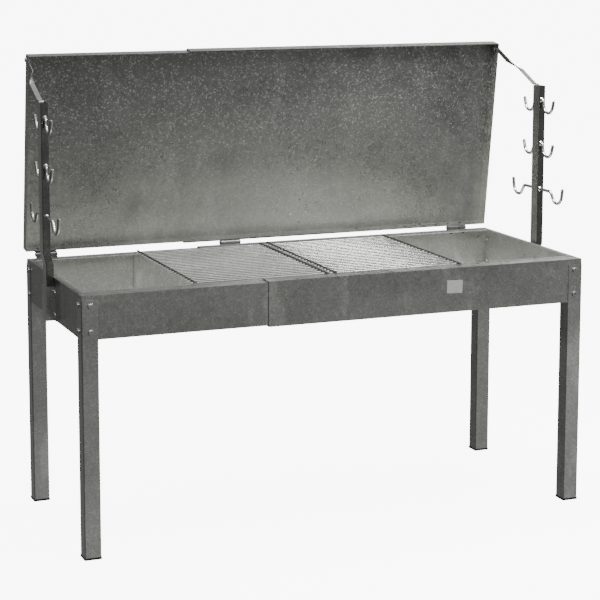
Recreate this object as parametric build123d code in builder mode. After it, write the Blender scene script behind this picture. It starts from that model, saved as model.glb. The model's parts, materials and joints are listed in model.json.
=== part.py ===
from build123d import *
import os
from dataclasses import dataclass

# A rotisserie spit roaster in folded galvanised sheet, in millimetres.
# X runs along the roaster, Y from its front to its back, Z up from the floor.
# The origin is on the floor, under the middle of the roaster.

# Overall sizes
length = 1300.0
depth = 530.0
rim_height = 628.0
tray_height = 110.0
lid_height = 36.0

# Sheet, and the play between the two halves that slide in each other
sheet = 1.2
nest_gap = 2.0

# Trays
tray_outer_free_x = -195.0
tray_overlap = 175.0
rim_flange = 42.0
end_flange = 12.0
hem_width = 9.0
hem_sheet = 1.2
mitre_gap = 1.0
rib_right_from_end = 321.0
rib_left_from_end = 283.0
rib_width = 5.0
rib_rise = 3.0

# Lids, drawn shut and then swung open
lid_outer_free_x = -231.0
lid_inner_free_x = 230.0
lid_seat_gap = 1.0
lid_setback = 20.0
lid_open_angle = 82.0

# Hinges
hinge_left_from_end = 53.0
hinge_middle_from_free_end = 94.0
hinge_right_from_end = 86.0
hinge_width = 55.0
hinge_rise = 4.0
knuckle_radius = 6.0
knuckle_gap = 0.4
hinge_pin_radius = 2.5
pin_head_radius = 4.0
pin_head_height = 1.5
leaf_sheet = 2.5
leaf_margin = 1.0
lid_leaf_height = 25.0
rivet_radius = 2.0
rivet_head_radius = 4.0
rivet_head_height = 1.5
rivet_tail_height = 1.0
rivet_play = 0.5
rivet_spacing = 36.0

# Legs and feet
leg_width = 40.0
leg_sheet = 1.5
leg_top_drop = 14.0
leg_corner = 3.0
foot_width = 42.0
foot_height = 5.0
foot_plug_height = 20.0
foot_plug_clearance = 0.3
foot_corner = 3.0

# Bolts that hold the legs to the trays
bolt_radius = 3.0
bolt_head_radius = 7.0
bolt_head_height = 4.0
bolt_from_end = 20.0
bolt_from_side = 26.0
bolt_top_drop = 28.0
bolt_floor_rise = 21.0
nut_width = 10.0
nut_height = 5.0
bolt_tail = 1.0
head_rounding = 0.6
slot_share = 1 / 6
slot_depth_share = 1 / 3
hole_clearance = 0.2

# Posts, their sockets and the screws of the sockets
post_width = 19.0
post_depth = 34.0
post_sheet = 1.5
post_rise = 417.0
post_foot_gap = 0.4
post_head_gap = 7.0
post_corner = 2.0
joggle_right_from_rim = (-21.0, -2.0)
joggle_left_from_rim = (27.0, 56.0)
socket_floor_rise = 3.0
socket_drop = 24.0
socket_sheet = 2.0
socket_clearance = 0.3
socket_tab = 14.0
screw_radius = 2.0
screw_head_radius = 4.5
screw_head_height = 2.5
screw_tail = 3.0

# Spit hooks: one bent wire goes through the post and makes a hook on each side.
# The corners of a hook are given as far out from the post's face, and as far up from its hole.
wire_radius = 4.0
weld_radius = 7.0
weld_height = 2.5
weld_taper = 40.0
tip_chamfer = 1.0
hook_drops = {"top": 37.0, "middle": 152.0, "low": 273.0}
short_hook = [(6.0, 0.0), (12.0, -32.0), (50.0, -32.0), (61.0, 1.5)]
short_bends = [6.0, 23.0, 24.0]
long_hook = [(54.0, 0.0), (74.0, -27.0), (108.0, -27.0), (116.0, 14.0)]
long_bends = [14.0, 22.0, 26.0]

# Stays that prop the open lid on the posts
stay_width = 12.0
stay_sheet = 2.5
stay_gap = 0.3
stay_bolt_from_edge = 12.0
stay_bolt_height = 18.0
stay_head_radius = 6.0
stay_head_height = 2.5
stay_rest_gap = 0.8
stay_over_post = 10.0
stay_hook_drop = 8.0
stay_hook_gap = 2.5
stay_bend = 4.0
twist_start = 70.0
twist_length = 56.0
twist_steps = 6

# Cooking grids
rod_bearing = 12.0
grid_length = 350.0
grid_left_x = -199.0
grid_right_x = 157.0
bar_radius = 1.4
bar_gap = 4.0
bar_count = 22
rod_radius = 2.25
rod_count = 2
rod_from_end = 8.0
weld_sink = 0.4

# Blank label on the front
label_from_end = 356.0
label_drop = 47.0
label_width = 42.0
label_height = 32.0
label_sheet = 0.4
label_tilt = -2.0

half_length = length / 2
half_depth = depth / 2
nest = sheet + nest_gap
tray_floor = rim_height - tray_height
tray_inner_free_x = tray_outer_free_x + tray_overlap
lid_seat = rim_height + lid_seat_gap
leg_top = rim_height - leg_top_drop
socket_top = rim_height - socket_drop
socket_bottom = tray_floor + socket_floor_rise
post_top = rim_height + post_rise
rod_length = depth - 2 * (rim_flange - rod_bearing)
hinge_y = half_depth + knuckle_gap + knuckle_radius
hinge_z = rim_height + hinge_rise
hinge_axis = Axis((0, hinge_y, hinge_z), (1, 0, 0))
hook_levels = {level: post_top - drop for level, drop in hook_drops.items()}
bolt_levels = [rim_height - bolt_top_drop, tray_floor + bolt_floor_rise]
post_x = half_length + post_head_gap + post_width / 2


@dataclass
class Half:
    """One half of the roaster, with its tray, its lid and its two legs."""

    name: str
    side: int  # +1 where its legs stand at the right end, -1 at the left end
    inset: float  # how far its sheets lie inside those of the outer half
    tray_free_x: float
    lid_free_x: float
    rib_from_end: float
    joggle_from_rim: tuple  # heights between which its post steps outward
    hinges: dict

    @property
    def end_x(self):
        return self.side * half_length

    @property
    def wall_y(self):
        return half_depth - self.inset

    @property
    def floor_z(self):
        return tray_floor + self.inset

    @property
    def rim_z(self):
        return rim_height - self.inset

    @property
    def lid_top_z(self):
        return lid_seat + lid_height - self.inset

    @property
    def joggle(self):
        return [rim_height + height for height in self.joggle_from_rim]

    def beyond(self, distance):
        """X at a distance outward from the end wall."""
        return self.side * (half_length + distance)


right = Half(
    "right", 1, 0.0, tray_outer_free_x, lid_outer_free_x, rib_right_from_end, joggle_right_from_rim,
    {"middle": tray_outer_free_x + hinge_middle_from_free_end, "right": half_length - hinge_right_from_end},
)
left = Half(
    "left", -1, nest, tray_inner_free_x, lid_inner_free_x, rib_left_from_end, joggle_left_from_rim,
    {"left": hinge_left_from_end - half_length},
)
halves = [right, left]
rows = {"front": -1, "back": 1}


def save(part, name):
    """Label a finished piece and write it to its own file."""
    part.label = name
    export_step(part, f"parts/{name}.step")


def swing_open(part):
    """Turn a piece that is drawn on the shut lid to its place on the open lid."""
    return part.rotate(hinge_axis, -lid_open_angle)


def span(x_from, x_to, y_from, y_to):
    """Draw a rectangle between two X and two Y places."""
    with Locations(((x_from + x_to) / 2, (y_from + y_to) / 2)):
        Rectangle(abs(x_to - x_from), abs(y_to - y_from))


def block(x_from, x_to, y_from, y_to, z_from, z_to, mode=Mode.ADD):
    """Add or cut an upright block in the piece that is being built."""
    with BuildSketch(Plane.XY.offset(z_from)) as outline:
        span(x_from, x_to, y_from, y_to)
    extrude(outline.sketch, amount=z_to - z_from, mode=mode)


def punch(plane, points, radius, reach):
    """Cut round holes, to both sides of a plane, in the piece that is being built."""
    with BuildSketch(plane) as holes:
        with Locations(*points):
            Circle(radius)
    extrude(holes.sketch, amount=reach, both=True, mode=Mode.SUBTRACT)


def place_all(piece, planes):
    """Copies of one fastener, each standing on its own plane, as one part."""
    with BuildPart() as group:
        with Locations(*[plane.location for plane in planes]):
            add(piece)
    return group.part


def rivet_xs(half):
    """X places of the rivets of the half's hinges."""
    return [x + step for x in half.hinges.values() for step in (-rivet_spacing / 2, rivet_spacing / 2)]


tray_rivet_z = rim_height - nest - sheet - rivet_play - rivet_head_radius
lid_rivet_z = hinge_z + (knuckle_radius + knuckle_gap + lid_leaf_height) / 2


# Trays: a folded pan, open at the end where it meets the other half
def make_tray(half):
    end_x = half.end_x
    free_x = half.tray_free_x
    past_free_x = free_x - half.side * sheet
    in_end_x = end_x - half.side * sheet
    in_y = half.wall_y - sheet
    lip_y = half_depth - rim_flange
    lip_x = end_x - half.side * end_flange
    hem_y = lip_y + hem_width
    hem_x = lip_x + half.side * hem_width
    with BuildPart() as tray:
        block(end_x, free_x, -half.wall_y, half.wall_y, half.floor_z, half.rim_z)
        block(hem_x, free_x, -hem_y, hem_y, half.rim_z, half.rim_z + hem_sheet)
        block(in_end_x, past_free_x, -in_y, in_y, half.floor_z + sheet, half.rim_z - sheet, Mode.SUBTRACT)
        block(lip_x, past_free_x, -lip_y, lip_y, half.rim_z - sheet, half.rim_z + hem_sheet, Mode.SUBTRACT)
        # The rim is mitred where the flange of the end meets those of the front and the back
        for row in rows.values():
            with BuildSketch(Plane.XY.offset(half.rim_z - sheet)):
                with BuildLine():
                    Polyline(
                        (lip_x - half.side * mitre_gap, row * lip_y),
                        (end_x - half.side * 2 * sheet - half.side * mitre_gap, row * (half.wall_y - 2 * sheet)),
                        (end_x - half.side * 2 * sheet, row * (half.wall_y - 2 * sheet)),
                        (lip_x, row * lip_y),
                        close=True,
                    )
                make_face()
            extrude(amount=sheet + hem_sheet, mode=Mode.SUBTRACT)
        # A pressed rib stiffens the front wall and the back wall
        rib_x = half.beyond(-half.rib_from_end)
        for row in rows.values():
            block(
                rib_x - rib_width / 2, rib_x + rib_width / 2,
                row * in_y, row * (in_y - rib_rise),
                half.floor_z + sheet, half.rim_z - sheet,
            )
        leg_holes = [(end_x - half.side * bolt_from_end, z) for z in bolt_levels]
        punch(Plane.XZ, leg_holes, bolt_radius + hole_clearance, depth)
        side_holes = [(row * (half.wall_y - bolt_from_side), z) for row in rows.values() for z in bolt_levels]
        punch(Plane.YZ.offset(end_x), side_holes, bolt_radius + hole_clearance, 2 * sheet)
        screw_holes = [(plane.origin.Y, plane.origin.Z) for plane in socket_screw_seats(half)]
        punch(Plane.YZ.offset(end_x), screw_holes, screw_radius + hole_clearance, 2 * sheet)
        rivet_holes = [(x, tray_rivet_z) for x in rivet_xs(half)]
        punch(Plane.XZ.offset(-half.wall_y), rivet_holes, rivet_radius + hole_clearance, 2 * sheet)
    return tray.part


# Legs: a square tube below the tray, and two plates that wrap the tray's corner above
def make_leg(half, row):
    out_x = half.beyond(leg_sheet)
    out_y = row * (half.wall_y + leg_sheet)
    in_x = out_x - half.side * leg_width
    in_y = out_y - row * leg_width
    step_x = half.side * leg_sheet
    step_y = row * leg_sheet
    with BuildPart() as leg:
        block(in_x, out_x, in_y, out_y, foot_height, leg_top)
        fillet(leg.edges().filter_by(Axis.Z), leg_corner)
        block(
            in_x + step_x, out_x - step_x, in_y + step_y, out_y - step_y,
            foot_height, leg_top, Mode.SUBTRACT,
        )
        block(
            in_x - step_x, out_x - step_x, in_y - step_y, out_y - step_y,
            half.floor_z, leg_top, Mode.SUBTRACT,
        )
        front_holes = [(half.end_x - half.side * bolt_from_end, z) for z in bolt_levels]
        punch(Plane.XZ.offset(-out_y), front_holes, bolt_radius + hole_clearance, 2 * leg_sheet)
        side_holes = [(row * (half.wall_y - bolt_from_side), z) for z in bolt_levels]
        punch(Plane.YZ.offset(out_x), side_holes, bolt_radius + hole_clearance, 2 * leg_sheet)
    return leg.part


def make_foot(half, row):
    mid_x = half.beyond(leg_sheet - leg_width / 2)
    mid_y = row * (half.wall_y + leg_sheet - leg_width / 2)
    plug = leg_width - 2 * leg_sheet - 2 * foot_plug_clearance
    with BuildPart() as foot:
        with BuildSketch():
            with Locations((mid_x, mid_y)):
                RectangleRounded(foot_width, foot_width, foot_corner)
        extrude(amount=foot_height)
        with BuildSketch(Plane.XY.offset(foot_height)):
            with Locations((mid_x, mid_y)):
                Rectangle(plug, plug)
        extrude(amount=foot_plug_height)
    return foot.part


# Fasteners, each drawn once, standing on the XY plane with its head up
def make_bolt(radius, head_radius, head_height, reach):
    with BuildPart() as bolt:
        with BuildSketch():
            Circle(head_radius)
        extrude(amount=head_height)
        fillet(bolt.edges().group_by(Axis.Z)[-1], head_height * head_rounding)
        with BuildSketch(Plane.XY.offset(head_height)):
            Rectangle(head_radius, head_radius * slot_share)
            Rectangle(head_radius * slot_share, head_radius)
        extrude(amount=-head_height * slot_depth_share, mode=Mode.SUBTRACT)
        with BuildSketch():
            Circle(radius)
        extrude(amount=-reach)
    return bolt.part


def make_nut():
    with BuildPart() as nut:
        with BuildSketch():
            RegularPolygon(nut_width / 2, 6, major_radius=False)
            Circle(bolt_radius + hole_clearance / 2, mode=Mode.SUBTRACT)
        extrude(amount=nut_height)
    return nut.part


def make_rivet(grip):
    """A rivet whose head stands on the XY plane and whose tail closes below its grip."""
    with BuildPart() as rivet:
        with BuildSketch():
            Circle(rivet_head_radius)
        extrude(amount=rivet_head_height)
        fillet(rivet.edges().group_by(Axis.Z)[-1], rivet_head_height * head_rounding)
        with BuildSketch():
            Circle(rivet_radius)
        extrude(amount=-grip)
        with BuildSketch(Plane.XY.offset(-grip)):
            Circle(rivet_head_radius)
        extrude(amount=-rivet_tail_height)
    return rivet.part


def leg_bolt_seats(half, row, out, facing):
    """Planes of a leg's four fasteners, out from the walls, that face outward or inward."""
    x_row = half.end_x - half.side * bolt_from_end
    y_row = row * (half.wall_y - bolt_from_side)
    seats = [
        Plane((x_row, row * (half.wall_y + out), z), x_dir=(1, 0, 0), z_dir=(0, row * facing, 0))
        for z in bolt_levels
    ]
    seats += [
        Plane((half.beyond(out), y_row, z), x_dir=(0, 1, 0), z_dir=(half.side * facing, 0, 0))
        for z in bolt_levels
    ]
    return seats


def socket_screw_seats(half):
    """Planes of the screws that hold the socket's tabs to the end wall."""
    reach = post_depth / 2 + socket_clearance + socket_sheet + socket_tab / 2
    levels = [socket_bottom + socket_tab, socket_top - socket_tab]
    return [
        Plane((half.beyond(socket_sheet), row * reach, z), x_dir=(0, 1, 0), z_dir=(half.side, 0, 0))
        for row in rows.values()
        for z in levels
    ]


# Sockets: a bent strip with two tabs and a floor makes a pocket on the end wall
def make_socket(half):
    inner_y = post_depth / 2 + socket_clearance
    outer_y = inner_y + socket_sheet
    inner_out = post_foot_gap + post_width + socket_clearance
    wall_x = half.end_x
    with BuildPart() as socket:
        block(
            wall_x, half.beyond(inner_out + socket_sheet), -outer_y, outer_y, socket_bottom, socket_top
        )
        block(
            wall_x, half.beyond(inner_out), -inner_y, inner_y,
            socket_bottom + socket_sheet, socket_top, Mode.SUBTRACT,
        )
        block(
            wall_x, half.beyond(socket_sheet), -outer_y - socket_tab, -outer_y, socket_bottom, socket_top
        )
        block(
            wall_x, half.beyond(socket_sheet), outer_y, outer_y + socket_tab, socket_bottom, socket_top
        )
        holes = [(plane.origin.Y, plane.origin.Z) for plane in socket_screw_seats(half)]
        punch(Plane.YZ.offset(wall_x), holes, screw_radius + hole_clearance, 2 * socket_sheet)
    return socket.part


# Posts: a flat-sided tube that stands in the socket and steps outward above the rim
def post_outline(half, wall):
    """The side view of the post, drawn inside its faces by a wall."""
    near_low = post_foot_gap + wall
    near_high = post_head_gap + wall
    across = post_width - 2 * wall
    bottom = socket_bottom + socket_sheet
    places = [
        (near_low, bottom),
        (near_low, half.joggle[0]),
        (near_high, half.joggle[1]),
        (near_high, post_top),
        (near_high + across, post_top),
        (near_high + across, half.joggle[1]),
        (near_low + across, half.joggle[0]),
        (near_low + across, bottom),
    ]
    return [(half.beyond(out), z) for out, z in places]


def is_joggle(edge):
    """True for the slanting edges of the step."""
    return abs(edge.tangent_at(0).X) > 0.01 and abs(edge.tangent_at(0).Z) > 0.01


def make_post(half):
    with BuildPart() as post:
        with BuildSketch(Plane.XZ):
            with BuildLine():
                Polyline(*post_outline(half, 0.0), close=True)
            make_face()
        extrude(amount=post_depth / 2, both=True)
        long_edges = post.edges().filter_by(lambda edge: edge.length > post_depth or is_joggle(edge))
        fillet(long_edges, post_corner)
        with BuildSketch(Plane.XZ):
            with BuildLine():
                Polyline(*post_outline(half, post_sheet), close=True)
            make_face()
        extrude(amount=post_depth / 2 - post_sheet, both=True, mode=Mode.SUBTRACT)
        holes = [(half.side * post_x, z) for z in hook_levels.values()]
        punch(Plane.XZ, holes, wire_radius + hole_clearance, post_depth)
    return post.part


def make_hook(half, z, shape, bends):
    """A wire through the post, bent to the same hook at the front and at the back."""
    side_view = Plane((half.side * post_x, 0, z), x_dir=(0, 1, 0), z_dir=(1, 0, 0))
    back = [(post_depth / 2 + out, rise) for out, rise in shape]
    front = [(-y, rise) for y, rise in reversed(back)]
    with BuildPart() as hook:
        with BuildLine(side_view) as route:
            FilletPolyline(*front, *back, radius=[*reversed(bends), *bends])
        with BuildSketch(Plane(origin=route.line @ 0, z_dir=route.line % 0)):
            Circle(wire_radius)
        sweep()
        for tip in (hook.faces().sort_by(Axis.Y)[0], hook.faces().sort_by(Axis.Y)[-1]):
            chamfer(tip.edges(), tip_chamfer)
        # The weld on each face of the post
        for row in rows.values():
            face = Plane((half.side * post_x, row * post_depth / 2, z), x_dir=(1, 0, 0), z_dir=(0, row, 0))
            with BuildSketch(face):
                Circle(weld_radius)
            extrude(amount=weld_height, taper=weld_taper)
    return hook.part


# Hinges
def make_tray_leaf(half, x):
    edge = hinge_z - knuckle_radius - knuckle_gap
    low = tray_rivet_z - rivet_head_radius - leaf_margin
    third = hinge_width / 3
    out_y = half_depth + leaf_sheet
    with BuildPart() as leaf:
        block(x - hinge_width / 2, x + hinge_width / 2, half.wall_y, out_y, low, edge)
        for way in (-1, 1):
            near = x + way * (third / 2 + knuckle_gap / 2)
            far = x + way * hinge_width / 2
            block(near, far, half_depth + knuckle_gap, out_y, edge, hinge_z)
            with BuildSketch(Plane.YZ.offset(near)):
                with Locations((hinge_y, hinge_z)):
                    Circle(knuckle_radius)
            extrude(amount=far - near)
        with BuildSketch(Plane.YZ.offset(x)):
            with Locations((hinge_y, hinge_z)):
                Circle(hinge_pin_radius + hole_clearance / 2)
        extrude(amount=hinge_width, both=True, mode=Mode.SUBTRACT)
        holes = [(x - rivet_spacing / 2, tray_rivet_z), (x + rivet_spacing / 2, tray_rivet_z)]
        punch(Plane.XZ.offset(-half_depth), holes, rivet_radius + hole_clearance, 4 * leaf_sheet)
    return leaf.part


def make_lid_leaf(half, x):
    edge = hinge_z + knuckle_radius + knuckle_gap
    top = hinge_z + lid_leaf_height
    half_third = hinge_width / 6 - knuckle_gap / 2
    out_y = half_depth + leaf_sheet
    with BuildPart() as leaf:
        block(x - hinge_width / 2, x + hinge_width / 2, half.wall_y, out_y, edge, top)
        block(x - half_third, x + half_third, half_depth + knuckle_gap, out_y, hinge_z, edge)
        with BuildSketch(Plane.YZ.offset(x)):
            with Locations((hinge_y, hinge_z)):
                Circle(knuckle_radius)
        extrude(amount=half_third, both=True)
        with BuildSketch(Plane.YZ.offset(x)):
            with Locations((hinge_y, hinge_z)):
                Circle(hinge_pin_radius + hole_clearance)
        extrude(amount=hinge_width, both=True, mode=Mode.SUBTRACT)
        holes = [(x - rivet_spacing / 2, lid_rivet_z), (x + rivet_spacing / 2, lid_rivet_z)]
        punch(Plane.XZ.offset(-half_depth), holes, rivet_radius + hole_clearance, 4 * leaf_sheet)
    return leaf.part


def make_hinge_pin(x):
    """A pin with a flat head on each end of the barrel."""
    half_barrel = hinge_width / 2
    with BuildPart() as pin:
        with BuildSketch(Plane.YZ.offset(x)):
            with Locations((hinge_y, hinge_z)):
                Circle(hinge_pin_radius)
        extrude(amount=half_barrel, both=True)
        for way in (-1, 1):
            with BuildSketch(Plane.YZ.offset(x + way * half_barrel)):
                with Locations((hinge_y, hinge_z)):
                    Circle(pin_head_radius)
            extrude(amount=way * pin_head_height)
    return pin.part


def rivet_seats(half, z):
    """Planes of the hinge rivets on the outer faces of the leaves."""
    return [
        Plane((x, half_depth + leaf_sheet, z), x_dir=(1, 0, 0), z_dir=(0, 1, 0)) for x in rivet_xs(half)
    ]


# Lids: a shallow pan, open downward when shut and open at the end where it nests
def make_lid(half):
    past_free_x = half.lid_free_x - half.side * sheet
    in_end_x = half.end_x - half.side * sheet
    front_y = lid_setback - half.wall_y
    back_y = half.wall_y
    with BuildPart() as lid:
        block(half.end_x, half.lid_free_x, front_y, back_y, lid_seat, half.lid_top_z)
        block(
            in_end_x, past_free_x, front_y + sheet, back_y - sheet,
            lid_seat, half.lid_top_z - sheet, Mode.SUBTRACT,
        )
        rivet_holes = [(x, lid_rivet_z) for x in rivet_xs(half)]
        punch(Plane.XZ.offset(-half.wall_y), rivet_holes, rivet_radius + hole_clearance, 2 * sheet)
        stay_hole = [(stay_bolt_y, stay_bolt_z)]
        punch(Plane.YZ.offset(half.end_x), stay_hole, bolt_radius + hole_clearance, 2 * sheet)
    return lid.part


# The bolt of the stay, on the shut lid and on the open lid
stay_bolt_y = -half_depth + lid_setback + nest + stay_bolt_from_edge
stay_bolt_z = lid_seat + stay_bolt_height
stay_reach = Vector(0, stay_bolt_y - hinge_y, stay_bolt_z - hinge_z)
stay_top = Vector(0, hinge_y, hinge_z) + stay_reach.rotate(Axis.X, -lid_open_angle)


def make_stay_bolt(half):
    """The pivot bolt of a stay, with its nut inside the lid, drawn on the shut lid."""
    seat = Plane(
        (half.beyond(2 * stay_gap + stay_sheet), stay_bolt_y, stay_bolt_z),
        x_dir=(0, 1, 0), z_dir=(half.side, 0, 0),
    )
    inside = Plane(
        (half.beyond(-sheet), stay_bolt_y, stay_bolt_z), x_dir=(0, 1, 0), z_dir=(-half.side, 0, 0)
    )
    reach = 2 * stay_gap + stay_sheet + sheet + nut_height + bolt_tail
    bolt = make_bolt(bolt_radius, stay_head_radius, stay_head_height, reach)
    with BuildPart() as group:
        with Locations(seat.location):
            add(bolt)
        with Locations(inside.location):
            add(nut)
    return group.part


def make_stay(half):
    """A flat bar, twisted by a quarter turn, whose end hooks over the post's rear wall."""
    top = stay_top
    lie_z = post_top + stay_rest_gap + stay_sheet / 2
    hook_y = post_depth / 2 - post_sheet - stay_hook_gap - stay_sheet / 2
    knee = Vector(0, post_depth / 2 + stay_over_post, lie_z)
    along = (knee - top).normalized()
    flat_x = half.beyond(stay_gap + stay_sheet / 2)
    twist_end = top + along * (twist_start + twist_length)
    with BuildPart() as stay:
        # The upper end lies flat on the end wall of the lid
        flat = Plane((half.beyond(stay_gap), top.Y, top.Z), x_dir=along, z_dir=(1, 0, 0))
        with BuildSketch(flat):
            Circle(stay_width / 2)
            with Locations((twist_start / 2, 0)):
                Rectangle(twist_start, stay_width)
            Circle(bolt_radius + hole_clearance, mode=Mode.SUBTRACT)
        extrude(amount=half.side * stay_sheet)
        # The twist also carries the bar outward, to the middle of the post
        for step in range(twist_steps + 1):
            part_way = step / twist_steps
            middle = top + along * (twist_start + twist_length * part_way)
            x = flat_x + (half.side * post_x - flat_x) * part_way
            with BuildSketch(Plane((x, middle.Y, middle.Z), x_dir=(1, 0, 0), z_dir=along)):
                Rectangle(stay_sheet, stay_width, rotation=90 * part_way)
        loft(ruled=True)
        # The lower end lies over the rear wall of the post and bends down into its mouth
        side_view = Plane((half.side * post_x, 0, 0), x_dir=(0, 1, 0), z_dir=(1, 0, 0))
        with BuildLine(side_view) as route:
            FilletPolyline(
                (twist_end.Y, twist_end.Z),
                (knee.Y, knee.Z),
                (hook_y, lie_z),
                (hook_y, post_top - stay_hook_drop),
                radius=stay_bend,
            )
        with BuildSketch(Plane(origin=route.line @ 0, x_dir=(1, 0, 0), z_dir=route.line % 0)):
            Rectangle(stay_width, stay_sheet)
        sweep()
    return stay.part


# Grids: a rod near each end rests on the rims, and bars along X are welded below the rods
def make_grid(middle_x):
    rod_z = rim_height + hem_sheet + rod_radius
    bar_z = rod_z - rod_radius - bar_radius + weld_sink
    rod_pitch = (grid_length - 2 * rod_from_end) / (rod_count - 1)
    bar_pitch = (depth - 2 * (rim_flange + bar_gap + bar_radius)) / (bar_count - 1)
    with BuildPart() as grid:
        with BuildSketch(Plane.XZ):
            with Locations((middle_x, rod_z)):
                with GridLocations(rod_pitch, 0, rod_count, 1):
                    Circle(rod_radius)
        extrude(amount=rod_length / 2, both=True)
        with BuildSketch(Plane.YZ.offset(middle_x - grid_length / 2)):
            with Locations((0, bar_z)):
                with GridLocations(bar_pitch, 0, bar_count, 1):
                    Circle(bar_radius)
        extrude(amount=grid_length)
    return grid.part


def make_label():
    with BuildPart() as label:
        with BuildSketch(Plane.XZ.offset(half_depth)):
            with Locations((half_length - label_from_end, rim_height - label_drop)):
                Rectangle(label_width, label_height, rotation=label_tilt)
        extrude(amount=label_sheet)
    return label.part


def leg_fasteners(half, row):
    """The bolts of one leg, with their heads outside, and their nuts inside the tray."""
    bolts = place_all(leg_bolt, leg_bolt_seats(half, row, leg_sheet, 1))
    nuts = place_all(nut, leg_bolt_seats(half, row, -sheet, -1))
    return bolts, nuts


os.makedirs("parts", exist_ok=True)

nut = make_nut()
leg_grip = leg_sheet + sheet + nut_height + bolt_tail
leg_bolt = make_bolt(bolt_radius, bolt_head_radius, bolt_head_height, leg_grip)
socket_screw = make_bolt(screw_radius, screw_head_radius, screw_head_height, socket_sheet + sheet + screw_tail)

for half in halves:
    save(make_tray(half), f"tray_{half.name}")
    for place, row in rows.items():
        bolts, nuts = leg_fasteners(half, row)
        save(make_leg(half, row), f"leg_{half.name}_{place}")
        save(make_foot(half, row), f"foot_{half.name}_{place}")
        save(bolts, f"leg_bolts_{half.name}_{place}")
        save(nuts, f"leg_nuts_{half.name}_{place}")

    save(make_socket(half), f"socket_{half.name}")
    save(place_all(socket_screw, socket_screw_seats(half)), f"socket_screws_{half.name}")
    save(make_post(half), f"post_{half.name}")
    for level, z in hook_levels.items():
        shape, bends = (long_hook, long_bends) if level == "low" else (short_hook, short_bends)
        save(make_hook(half, z, shape, bends), f"hook_{half.name}_{level}")

    grip = leaf_sheet + half.inset + sheet
    for place, x in half.hinges.items():
        save(make_tray_leaf(half, x), f"hinge_{place}_tray_leaf")
        save(swing_open(make_lid_leaf(half, x)), f"hinge_{place}_lid_leaf")
        save(make_hinge_pin(x), f"hinge_{place}_pin")
    save(place_all(make_rivet(grip), rivet_seats(half, tray_rivet_z)), f"tray_rivets_{half.name}")
    lid_rivets = place_all(make_rivet(grip), rivet_seats(half, lid_rivet_z))
    save(swing_open(lid_rivets), f"lid_rivets_{half.name}")

    save(swing_open(make_lid(half)), f"lid_{half.name}")
    save(swing_open(make_stay_bolt(half)), f"stay_bolt_{half.name}")
    save(make_stay(half), f"stay_{half.name}")

save(make_grid(grid_left_x), "grid_left")
save(make_grid(grid_right_x), "grid_right")
save(make_label(), "blank_label")
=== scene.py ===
import json
from math import radians

import bpy
from mathutils import Matrix, Vector


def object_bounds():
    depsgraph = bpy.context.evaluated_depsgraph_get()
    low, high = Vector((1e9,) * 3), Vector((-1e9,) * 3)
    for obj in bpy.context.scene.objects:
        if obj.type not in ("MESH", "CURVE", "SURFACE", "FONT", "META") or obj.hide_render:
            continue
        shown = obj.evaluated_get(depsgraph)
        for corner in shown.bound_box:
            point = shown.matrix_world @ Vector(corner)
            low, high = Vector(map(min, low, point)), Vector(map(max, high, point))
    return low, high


# Looks of the folding-sheet spit roaster. Lengths are in metres, in the frame's own axes.

# Camera
CAMERA_PLACE = (-1.7385, -4.3161, 1.4585)
CAMERA_YAW = 21.82
CAMERA_PITCH = 8.34
CAMERA_ROLL = 0.07
CAMERA_LENS = 112.1
CAMERA_SHIFT = -0.167
SENSOR_WIDTH = 36.0

CAMERA_REACH = 60.0

# The room: its strength overhead and from eye level down, and the share of it on the left
SKY_ABOVE = 0.95
SKY_LEVEL = 0.24
SKY_LEFT_SHARE = 0.28
# Where those change, as the Z and the X of a direction
SKY_HEIGHTS = (0.05, 0.8)
SKY_SIDES = (-0.6, 0.15)

# The floor
FLOOR_GREY = 0.80
FLOOR_ROUGHNESS = 0.9
FLOOR_GLOW = 8.0
FLOOR_HALF = 50.0

# Each light's name, place, target, width and height, and watts
LIGHTS = (
    ("top", (0.8, -0.1, 3.4), (0.2, 0.0, 0.5), (2.4, 1.6), 92.0),
    ("key", (-1.2, -4.2, 3.4), (0.0, 0.1, 0.8), (2.4, 1.6), 50.0),
    ("pan", (0.52, -0.05, 1.5), (0.22, 0.0, 0.5), (0.40, 0.25), 18.0),
    ("strip", (0.95, -1.5, 0.06), (0.15, 0.25, 0.85), (0.9, 0.12), 0.2),
)

# A little under the trays' rim: a level face below it is a pan's floor
PAN_TOP = 0.62
# How far a place and its facing have to disagree before the face counts as an inner one
INNER_LIMIT = -0.001
# How much of a facing has to lie along an axis
LEVEL_SHARE = 0.5
ALONG_SHARE = 0.7

# The middle of a noise's values, which is stretched to the pattern's full effect
NOISE_SPAN = (0.3, 0.7)

# Zinc: scales of its crystals, and stretches along X, Y and Z of the patterns in it
FINE_CRYSTALS = 330.0
COARSE_CRYSTALS = 110.0
RUN_STRETCH = (8.0, 8.0, 2.4)
SCUFF_STRETCH = (6.0, 6.0, 50.0)
RIPPLE_STRETCH = (0.8, 1.0, 2.6)
# Noise values between which runs, scuffs and smudges come in, and how dark the last two are
RUN_SPAN = (0.55, 0.62)
RUN_CLOUDS = 1.6
SCUFF_SPAN = (0.66, 0.78)
SCUFF_GREY = 0.87
SMUDGE_SPAN = (0.68, 0.80)
SMUDGE_GREY = 0.78
# A painted glint, a painted highlight in the colour, is a crystal whose random grey is near 1
GLINT_POWER = 8.0
# Heights between which the painted glints come in, painted shade darkens a lid, and painted
# light on a leg fades upwards from its foot
GLINT_HEIGHTS = (0.78, 1.02)
TOP_HEIGHTS = (0.78, 1.05)
FOOT_HEIGHTS = (0.0, 0.5)
# Spread of its gloss, and how much rougher a pan is inside
CRYSTAL_GLOSS = 0.04
CLOUD_GLOSS = (-0.05, 0.08)
PAN_ROUGHER = 0.10
# Relief, in units of its bump distance
RIPPLE_RELIEF = 14.0
CRYSTAL_RELIEF = 0.02
ZINC_BUMP = 0.5
ZINC_DISTANCE = 0.001

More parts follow.
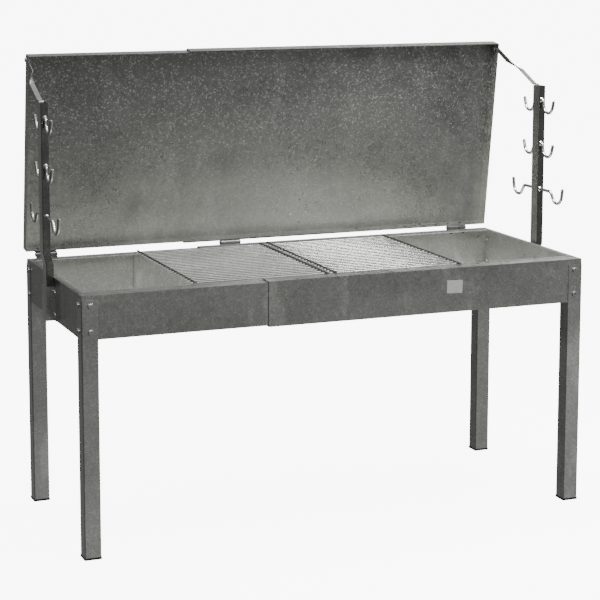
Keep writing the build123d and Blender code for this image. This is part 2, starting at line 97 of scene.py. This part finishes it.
# Plating on wire, bar and fasteners
PLATING_SCALE = 160.0
PLATING_BROAD = 12.0
PLATING_SPECKS = 0.12
PLATING_GLOSS = (-0.06, 0.08)
PLATING_METAL = 0.95


def new_material(name):
    """A material with its nodes cleared, and its shader and output joined."""
    material = bpy.data.materials.new(name)
    material.use_nodes = True
    tree = material.node_tree
    tree.nodes.clear()
    shader = tree.nodes.new("ShaderNodeBsdfPrincipled")
    output = tree.nodes.new("ShaderNodeOutputMaterial")
    tree.links.new(shader.outputs["BSDF"], output.inputs["Surface"])
    return material, tree, shader


def object_coordinates(tree, stretch=(1.0, 1.0, 1.0)):
    """The piece's own coordinates, stretched, so that a pattern stays on it when it moves."""
    coordinates = tree.nodes.new("ShaderNodeTexCoord")
    mapping = tree.nodes.new("ShaderNodeMapping")
    mapping.inputs["Scale"].default_value = stretch
    tree.links.new(coordinates.outputs["Object"], mapping.inputs["Vector"])
    return mapping.outputs["Vector"]


def noise(tree, vector, scale, detail, roughness):
    node = tree.nodes.new("ShaderNodeTexNoise")
    node.inputs["Scale"].default_value = scale
    node.inputs["Detail"].default_value = detail
    node.inputs["Roughness"].default_value = roughness
    tree.links.new(vector, node.inputs["Vector"])
    return node.outputs["Fac"]


def crystals(tree, vector, scale):
    """One random grey for each crystal of the zinc."""
    cells = tree.nodes.new("ShaderNodeTexVoronoi")
    cells.inputs["Scale"].default_value = scale
    tree.links.new(vector, cells.inputs["Vector"])
    grey = tree.nodes.new("ShaderNodeSeparateColor")
    tree.links.new(cells.outputs["Color"], grey.inputs["Color"])
    return grey.outputs["Red"]


def remap(tree, value, low, high, span=(0.0, 1.0)):
    """Stretches a span of a value to run from low to high, and holds it at both ends."""
    start, end = span
    node = tree.nodes.new("ShaderNodeMapRange")
    node.inputs["From Min"].default_value = start
    node.inputs["From Max"].default_value = end
    node.inputs["To Min"].default_value = low
    node.inputs["To Max"].default_value = high
    tree.links.new(value, node.inputs["Value"])
    return node.outputs["Result"]


def calculate(tree, operation, first, second=0.0):
    node = tree.nodes.new("ShaderNodeMath")
    node.operation = operation
    for value, socket in ((first, node.inputs[0]), (second, node.inputs[1])):
        if isinstance(value, float):
            socket.default_value = value
        else:
            tree.links.new(value, socket)
    return node.outputs[0]


def tint(tree, grey, colour):
    """A colour made lighter or darker by a grey value."""
    node = tree.nodes.new("ShaderNodeMix")
    node.data_type = "RGBA"
    node.blend_type = "MULTIPLY"
    node.inputs["Factor"].default_value = 1.0
    node.inputs["A"].default_value = (*colour, 1.0)
    combine = tree.nodes.new("ShaderNodeCombineColor")
    for channel in ("Red", "Green", "Blue"):
        tree.links.new(grey, combine.inputs[channel])
    tree.links.new(combine.outputs["Color"], node.inputs["B"])
    return node.outputs["Result"]


def bump(tree, height, shader, strength, distance):
    node = tree.nodes.new("ShaderNodeBump")
    node.inputs["Strength"].default_value = strength
    node.inputs["Distance"].default_value = distance
    tree.links.new(height, node.inputs["Height"])
    tree.links.new(node.outputs["Normal"], shader.inputs["Normal"])


def split(tree, vector):
    """The X, Y and Z of a vector."""
    node = tree.nodes.new("ShaderNodeSeparateXYZ")
    tree.links.new(vector, node.inputs["Vector"])
    return node.outputs["X"], node.outputs["Y"], node.outputs["Z"]


def dull_side(tree):
    """1 on a pan's walls and floor inside, which weather to a matt grey, and 0 elsewhere."""
    coordinates = tree.nodes.new("ShaderNodeTexCoord")
    place_x, place_y, place_z = split(tree, coordinates.outputs["Object"])
    facing_x, facing_y, facing_z = split(tree, coordinates.outputs["Normal"])
    outward = calculate(
        tree, "ADD",
        calculate(tree, "MULTIPLY", place_x, facing_x),
        calculate(tree, "MULTIPLY", place_y, facing_y),
    )
    inner = calculate(tree, "LESS_THAN", outward, INNER_LIMIT)
    level = calculate(tree, "GREATER_THAN", facing_z, LEVEL_SHARE)
    below_rim = calculate(tree, "LESS_THAN", place_z, PAN_TOP)
    return calculate(tree, "MAXIMUM", inner, calculate(tree, "MULTIPLY", level, below_rim))


def faces_along(tree, axis):
    """1 on the faces that look along an axis, to either side, and 0 on the others."""
    coordinates = tree.nodes.new("ShaderNodeTexCoord")
    facing = split(tree, coordinates.outputs["Normal"])["XYZ".index(axis)]
    return calculate(
        tree, "GREATER_THAN", calculate(tree, "ABSOLUTE", facing), ALONG_SHARE
    )


def galvanised(
    name, colour, rough, spangle=0.09, clouds=0.15, glint=0.25, metal=0.92,
    dull=None, painted_shade_along_y=1.0, painted_light_along_x=1.0, top=1.0, foot=1.0, glint_low=1.0,
):
    """Hot-dipped sheet: crystals with painted glints among them, pale runs, dark scuffs and
    smudges and a faint waviness.

    dull is how metallic a pan is inside. The arguments for the faces along Y and X, for a lid's
    top and for a leg's foot paint light and shade into the colour, as lit and shaded copies of
    the one sheet.
    """
    material, tree, shader = new_material(name)
    place = object_coordinates(tree)
    cell = crystals(tree, place, FINE_CRYSTALS)
    wide = crystals(tree, place, COARSE_CRYSTALS)
    cloud = noise(tree, place, 3.0, 6.0, 0.62)
    stain = noise(tree, place, 13.0, 6.0, 0.68)
    runs = noise(tree, object_coordinates(tree, RUN_STRETCH), 1.6, 6.0, 0.62)
    scuffs = noise(tree, object_coordinates(tree, SCUFF_STRETCH), 1.6, 3.0, 0.6)
    smudges = noise(tree, place, 6.0, 1.0, 0.3)
    # Painted glints: the brightest crystals are lightened in the colour as painted highlights,
    # most towards the top of a lid
    height = split(tree, place)[2]
    share = remap(tree, height, glint_low, 1.0, GLINT_HEIGHTS)
    glints = calculate(tree, "MULTIPLY", calculate(tree, "POWER", cell, GLINT_POWER), glint)
    glints = calculate(tree, "MULTIPLY", glints, share)
    grey = calculate(tree, "ADD", remap(tree, cell, 1.0 - spangle, 1.0 + spangle), glints)
    for factor in (
        remap(tree, wide, 1.0 - spangle / 2, 1.0 + spangle / 2),
        remap(tree, cloud, 1.0 - clouds, 1.0 + clouds, NOISE_SPAN),
        remap(tree, stain, 1.0 - clouds / 3, 1.0 + clouds / 3, NOISE_SPAN),
        remap(tree, runs, 1.0, 1.0 + clouds * RUN_CLOUDS, RUN_SPAN),
        remap(tree, scuffs, 1.0, SCUFF_GREY, SCUFF_SPAN),
        remap(tree, smudges, 1.0, SMUDGE_GREY, SMUDGE_SPAN),
        # Painted shade darkens a lid towards its top, and painted light lightens a leg towards
        # its foot
        remap(tree, height, 1.0, top, TOP_HEIGHTS),
        remap(tree, height, foot, 1.0, FOOT_HEIGHTS),
        # Painted light and painted shade on the faces that look along Y and X, as lit and
        # shaded copies of the sheet
        remap(tree, faces_along(tree, "Y"), 1.0, painted_shade_along_y),
        remap(tree, faces_along(tree, "X"), 1.0, painted_light_along_x),
    ):
        grey = calculate(tree, "MULTIPLY", grey, factor)
    tree.links.new(tint(tree, grey, colour), shader.inputs["Base Color"])
    uneven = calculate(
        tree, "ADD",
        remap(tree, wide, rough - CRYSTAL_GLOSS, rough + CRYSTAL_GLOSS),
        remap(tree, cloud, *CLOUD_GLOSS, NOISE_SPAN),
    )
    if dull:
        side = dull_side(tree)
        uneven = calculate(tree, "ADD", uneven, remap(tree, side, 0.0, PAN_ROUGHER))
        tree.links.new(remap(tree, side, metal, dull), shader.inputs["Metallic"])
    else:
        shader.inputs["Metallic"].default_value = metal
    tree.links.new(uneven, shader.inputs["Roughness"])
    ripple = noise(tree, object_coordinates(tree, RIPPLE_STRETCH), 2.2, 2.0, 0.4)
    relief = calculate(
        tree, "ADD",
        calculate(tree, "MULTIPLY", ripple, RIPPLE_RELIEF),
        calculate(tree, "MULTIPLY", cell, CRYSTAL_RELIEF),
    )
    bump(tree, relief, shader, ZINC_BUMP, ZINC_DISTANCE)
    return material


def plated(name, colour, rough):
    """Bright zinc on wire, bar and fasteners, with small marks and uneven gloss."""
    material, tree, shader = new_material(name)
    place = object_coordinates(tree)
    mark = noise(tree, place, PLATING_SCALE, 4.0, 0.65)
    broad = noise(tree, place, PLATING_SCALE / PLATING_BROAD, 3.0, 0.5)
    grey = calculate(
        tree, "MULTIPLY",
        remap(tree, mark, 1.0 - PLATING_SPECKS, 1.0 + PLATING_SPECKS, NOISE_SPAN),
        remap(tree, broad, 1.0 - PLATING_SPECKS, 1.0 + PLATING_SPECKS, NOISE_SPAN),
    )
    smoother, rougher = PLATING_GLOSS
    gloss = remap(tree, mark, rough + smoother, rough + rougher, NOISE_SPAN)
    tree.links.new(tint(tree, grey, colour), shader.inputs["Base Color"])
    tree.links.new(gloss, shader.inputs["Roughness"])
    shader.inputs["Metallic"].default_value = PLATING_METAL
    bump(tree, mark, shader, 0.08, 0.0003)
    return material


def moulded_plastic(name, colour, rough):
    """Moulded plastic with fine pores and a little dust."""
    material, tree, shader = new_material(name)
    place = object_coordinates(tree)
    pores = noise(tree, place, 900.0, 3.0, 0.6)
    dust = noise(tree, place, 40.0, 5.0, 0.6)
    grey = remap(tree, dust, 0.7, 1.6, NOISE_SPAN)
    gloss = remap(tree, dust, rough - 0.08, rough + 0.10, NOISE_SPAN)
    tree.links.new(tint(tree, grey, colour), shader.inputs["Base Color"])
    tree.links.new(gloss, shader.inputs["Roughness"])
    bump(tree, pores, shader, 0.15, 0.0002)
    return material


def blank_paper(name, colour):
    """A plain sticker, a little dirty, with nothing printed on it."""
    material, tree, shader = new_material(name)
    place = object_coordinates(tree)
    dirt = noise(tree, place, 60.0, 5.0, 0.6)
    fibre = noise(tree, place, 1500.0, 3.0, 0.6)
    grey = remap(tree, dirt, 0.88, 1.0, NOISE_SPAN)
    tree.links.new(tint(tree, grey, colour), shader.inputs["Base Color"])
    tree.links.new(remap(tree, fibre, 0.45, 0.6, NOISE_SPAN), shader.inputs["Roughness"])
    bump(tree, fibre, shader, 0.1, 0.0001)
    return material


def dress(frame):
    """Gives each CAD node the finish of its own sheet, tube, wire or plastic."""
    finishes = {
        "tray_sheet": galvanised("tray_sheet", (0.43, 0.435, 0.41), 0.30, dull=0.30),
        "lid_sheet": galvanised(
            "lid_sheet", (0.35, 0.355, 0.335), 0.30,
            # Strong painted glints, mostly high up, painted light on the faces along X and
            # painted shade towards the top
            spangle=0.08, clouds=0.10, glint=1.5, metal=0.90,
            painted_light_along_x=1.9, top=0.66, glint_low=0.15,
        ),
        "leg_sheet": galvanised(
            # Painted light towards the foot
            "leg_sheet", (0.50, 0.505, 0.48), 0.26, spangle=0.07, clouds=0.14, foot=1.45,
        ),
        "post_steel": galvanised(
            "post_steel", (0.40, 0.405, 0.385), 0.22,
            # Painted shade on the faces along Y and painted light on the faces along X
            spangle=0.06, clouds=0.20, metal=0.95, painted_shade_along_y=0.40, painted_light_along_x=1.1,
        ),
        "stay_steel": plated("stay_steel", (0.30, 0.30, 0.29), 0.26),
        "hook_wire": plated("hook_wire", (0.55, 0.55, 0.53), 0.15),
        "grid_wire": plated("grid_wire", (0.27, 0.27, 0.26), 0.22),
        "hinge_steel": plated("hinge_steel", (0.18, 0.18, 0.175), 0.28),
        "zinc_fasteners": plated("zinc_fasteners", (0.62, 0.62, 0.60), 0.22),
        "black_plastic": moulded_plastic("black_plastic", (0.012, 0.012, 0.012), 0.45),
        "label_paper": blank_paper("label_paper", (0.92, 0.92, 0.89)),
    }
    for part in frame["record"]["subparts"]:
        piece = frame["nodes"][part["node"]]
        finish = finishes[part["material_slot"]]
        piece.data.materials.clear()
        piece.data.materials.append(finish)


def light_world():
    """A soft room: light above, darker from eye level down and towards the left."""
    world = bpy.data.worlds.new("studio")
    bpy.context.scene.world = world
    world.use_nodes = True
    tree = world.node_tree
    sky = tree.nodes["Background"]
    direction = tree.nodes.new("ShaderNodeTexCoord")
    direction_x, _, direction_z = split(tree, direction.outputs["Generated"])
    upward = remap(tree, direction_z, SKY_LEVEL, SKY_ABOVE, SKY_HEIGHTS)
    sideways = remap(tree, direction_x, SKY_LEFT_SHARE, 1.0, SKY_SIDES)
    strength = calculate(tree, "MULTIPLY", upward, sideways)
    tree.links.new(strength, sky.inputs["Strength"])
    sky.inputs["Color"].default_value = (1.0, 1.0, 1.0, 1.0)


def area_light(name, place, target, size, power):
    """A rectangular light that the camera doesn't see."""
    light = bpy.data.lights.new(name, "AREA")
    light.shape = "RECTANGLE"
    light.size, light.size_y = size
    light.energy = power
    lamp = bpy.data.objects.new(name, light)
    bpy.context.scene.collection.objects.link(lamp)
    aim = Vector(target) - Vector(place)
    lamp.location = place
    lamp.visible_camera = False
    lamp.rotation_mode = "QUATERNION"
    lamp.rotation_quaternion = aim.to_track_quat("-Z", "Y")


def make_floor(low_z):
    """A wide pale floor at the feet."""
    mesh = bpy.data.meshes.new("floor")
    corners = [
        (x * FLOOR_HALF, y * FLOOR_HALF, low_z) for x, y in ((-1, -1), (1, -1), (1, 1), (-1, 1))
    ]
    mesh.from_pydata(corners, [], [(0, 1, 2, 3)])
    floor = bpy.data.objects.new("floor", mesh)
    bpy.context.scene.collection.objects.link(floor)
    material, tree, shader = new_material("floor")
    shader.inputs["Base Color"].default_value = (FLOOR_GREY, FLOOR_GREY, FLOOR_GREY, 1.0)
    shader.inputs["Roughness"].default_value = FLOOR_ROUGHNESS
    shader.inputs["Emission Color"].default_value = (1.0, 1.0, 1.0, 1.0)
    shader.inputs["Emission Strength"].default_value = FLOOR_GLOW
    mesh.materials.append(material)
    # The glow is for the camera only, and doesn't light the roaster from below
    floor.visible_glossy = False
    floor.visible_diffuse = False


def make_camera():
    """The photo's view."""
    camera = bpy.data.cameras.new("camera")
    camera.lens = CAMERA_LENS
    camera.sensor_width = SENSOR_WIDTH
    camera.shift_y = CAMERA_SHIFT
    camera.clip_end = CAMERA_REACH
    viewer = bpy.data.objects.new("camera", camera)
    bpy.context.scene.collection.objects.link(viewer)
    turn = (
        Matrix.Rotation(radians(-CAMERA_YAW), 4, "Z")
        @ Matrix.Rotation(radians(90.0 - CAMERA_PITCH), 4, "X")
        @ Matrix.Rotation(radians(CAMERA_ROLL), 4, "Z")
    )
    viewer.matrix_world = Matrix.Translation(CAMERA_PLACE) @ turn
    bpy.context.scene.camera = viewer


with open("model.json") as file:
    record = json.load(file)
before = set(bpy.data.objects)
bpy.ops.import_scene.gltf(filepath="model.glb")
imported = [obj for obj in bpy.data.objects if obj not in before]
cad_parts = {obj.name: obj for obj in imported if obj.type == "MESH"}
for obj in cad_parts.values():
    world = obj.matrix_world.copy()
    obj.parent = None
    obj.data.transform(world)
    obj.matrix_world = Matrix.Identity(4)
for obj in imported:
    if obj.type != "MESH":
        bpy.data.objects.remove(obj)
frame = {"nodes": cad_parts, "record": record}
cad_low, cad_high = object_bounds()

dress(frame)
make_floor(cad_low.z)
light_world()
for name, place, target, size, power in LIGHTS:
    area_light(name, place, target, size, power)
make_camera()
